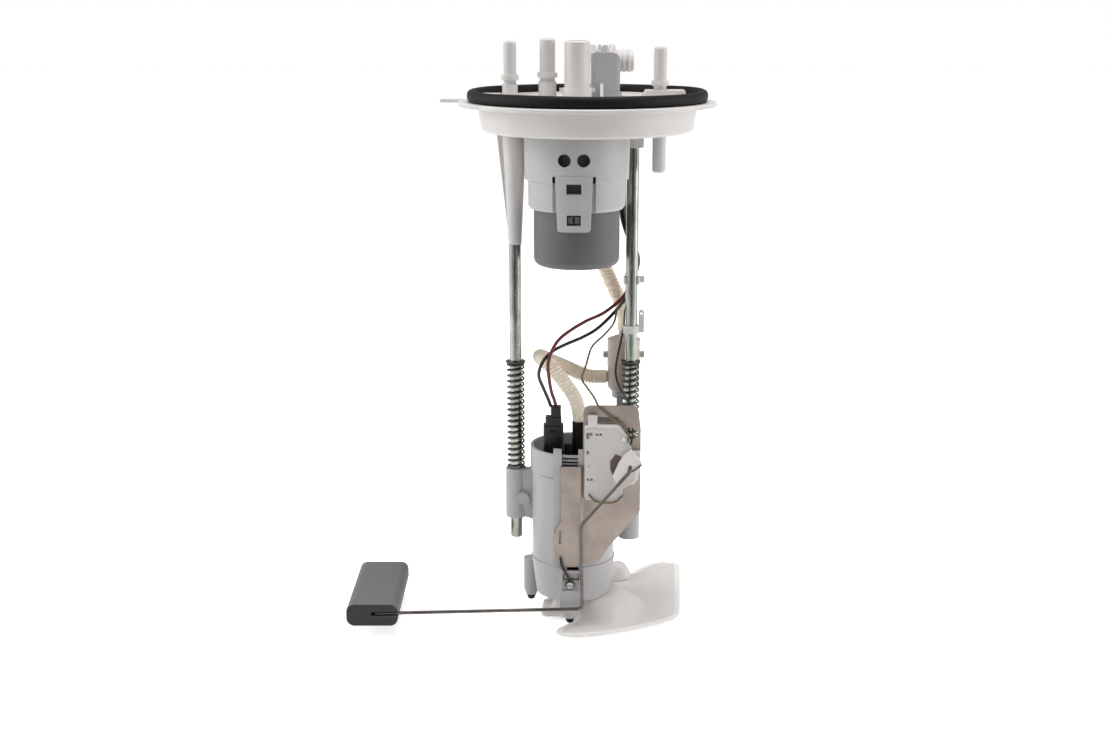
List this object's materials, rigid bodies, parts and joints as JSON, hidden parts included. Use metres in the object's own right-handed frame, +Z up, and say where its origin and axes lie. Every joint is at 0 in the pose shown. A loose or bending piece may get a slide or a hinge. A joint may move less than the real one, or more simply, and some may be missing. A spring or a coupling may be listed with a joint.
{
  "type": "fuel pump module",
  "caption": "In-tank fuel pump module: a round closing flange with pipe and electrical ports, sprung guide rods, and a sliding pump unit with strainer, level sender and hinged float.",
  "frame": {"origin": "centre of the flange rim's underside, which is the face that rests on the tank", "axes": "+Z up along the guide rods, out of the tank; +X to the right with the float on the left, and -Y towards the sender card"},
  "size_m": [0.2341, 0.1702, 0.3772],
  "materials": {
    "white_acetal": "satin moulded acetal",
    "housing_acetal": "satin moulded acetal, slightly translucent",
    "grey_nylon": "matt moulded nylon",
    "connector_nylon": "matt moulded nylon",
    "black_plastic": "matt moulded plastic",
    "black_rubber": "matt nitrile rubber",
    "rod_steel": "ground and plated",
    "spring_steel": "oiled spring wire",
    "zinc_steel": "zinc plated sheet",
    "pump_steel": "drawn and plated",
    "brass": "stamped",
    "copper_iron": "wound armature",
    "ferrite": "sintered",
    "carbon": "pressed carbon",
    "cream_nylon": "corrugated nylon hose",
    "red_insulation": "smooth wire insulation",
    "black_insulation": "smooth wire insulation",
    "olive_insulation": "smooth wire insulation",
    "sender_plastic": "satin moulded acetal",
    "ceramic": "fired alumina card",
    "thick_film": "fired thick film track",
    "strainer_mesh": "woven nylon mesh",
    "float_foam": "closed cell nitrile foam"
  },
  "bodies": {
    "flange_unit": {"flange_cap": "white_acetal", "seal_ring": "black_rubber", "connector_shell": "connector_nylon", "connector_terminals": "brass", "vent_elbow": "white_acetal", "canister_holder": "white_acetal", "canister_shell": "grey_nylon", "canister_lid": "grey_nylon", "canister_seal": "black_rubber", "guide_rod_left": "rod_steel", "guide_rod_right": "rod_steel", "spring_washers": "spring_steel", "stop_rings": "spring_steel", "spring_left": "spring_steel", "spring_right": "spring_steel", "harness_clip": "white_acetal", "harness_ring": "white_acetal", "feed_hose": "cream_nylon", "harness_plug": "black_plastic", "harness": "black_insulation", "pump_lead_red": "red_insulation", "pump_lead_black": "black_insulation", "sender_lead_olive": "olive_insulation", "sender_lead_black": "black_insulation"},
    "vent_float": {"canister_float": "white_acetal"},
    "pump_unit": {"pump_housing": "housing_acetal", "housing_ring": "housing_acetal", "lower_cup": "housing_acetal", "rubber_feet": "black_rubber", "pump_case": "pump_steel", "pump_cover": "black_plastic", "pump_magnets": "ferrite", "carbon_brushes": "carbon", "inlet_body": "grey_nylon", "rubber_isolator": "black_rubber", "pump_plug": "black_plastic", "outlet_tube": "black_rubber", "outlet_hose": "cream_nylon", "regulator_can": "white_acetal", "regulator_seat": "brass", "regulator_spring": "spring_steel", "regulator_socket": "white_acetal", "sender_bracket": "zinc_steel", "sender_base": "sender_plastic", "resistor_card": "ceramic", "resistor_track": "thick_film", "card_lead": "olive_insulation", "bracket_screw": "rod_steel", "ground_lead": "black_insulation", "strainer_pouch": "strainer_mesh", "strainer_frame": "white_acetal"},
    "pump_rotor": {"armature": "copper_iron", "impeller": "black_plastic"},
    "float_arm": {"arm_hub": "sender_plastic", "wiper": "brass", "arm_clip": "spring_steel", "float_wire": "spring_steel", "float_block": "float_foam"}
  },
  "joints": [
    {"name": "pump_unit_slide", "type": "slide", "parent": "flange_unit", "child": "pump_unit", "axis": [0, 0, 1], "range_m": [0, 0.035], "stiffness_N_per_m": 2500, "springref_m": -0.004, "deforming": ["spring_left", "spring_right", "feed_hose", "pump_lead_red", "pump_lead_black", "sender_lead_olive", "sender_lead_black"]},
    {"name": "vent_float_slide", "type": "slide", "parent": "flange_unit", "child": "vent_float", "axis": [0, 0, 1], "range_m": [0, 0.006]},
    {"name": "rotor_spin", "type": "hinge", "parent": "pump_unit", "child": "pump_rotor", "pos_m": [-0.008, 0, -0.27], "axis": [0, 0, 1], "continuous": true},
    {"name": "float_arm_hinge", "type": "hinge", "parent": "pump_unit", "child": "float_arm", "pos_m": [0.0273, -0.0392, -0.2225], "axis": [0, 1, 0], "range_deg": [0, 70]}
  ]
}
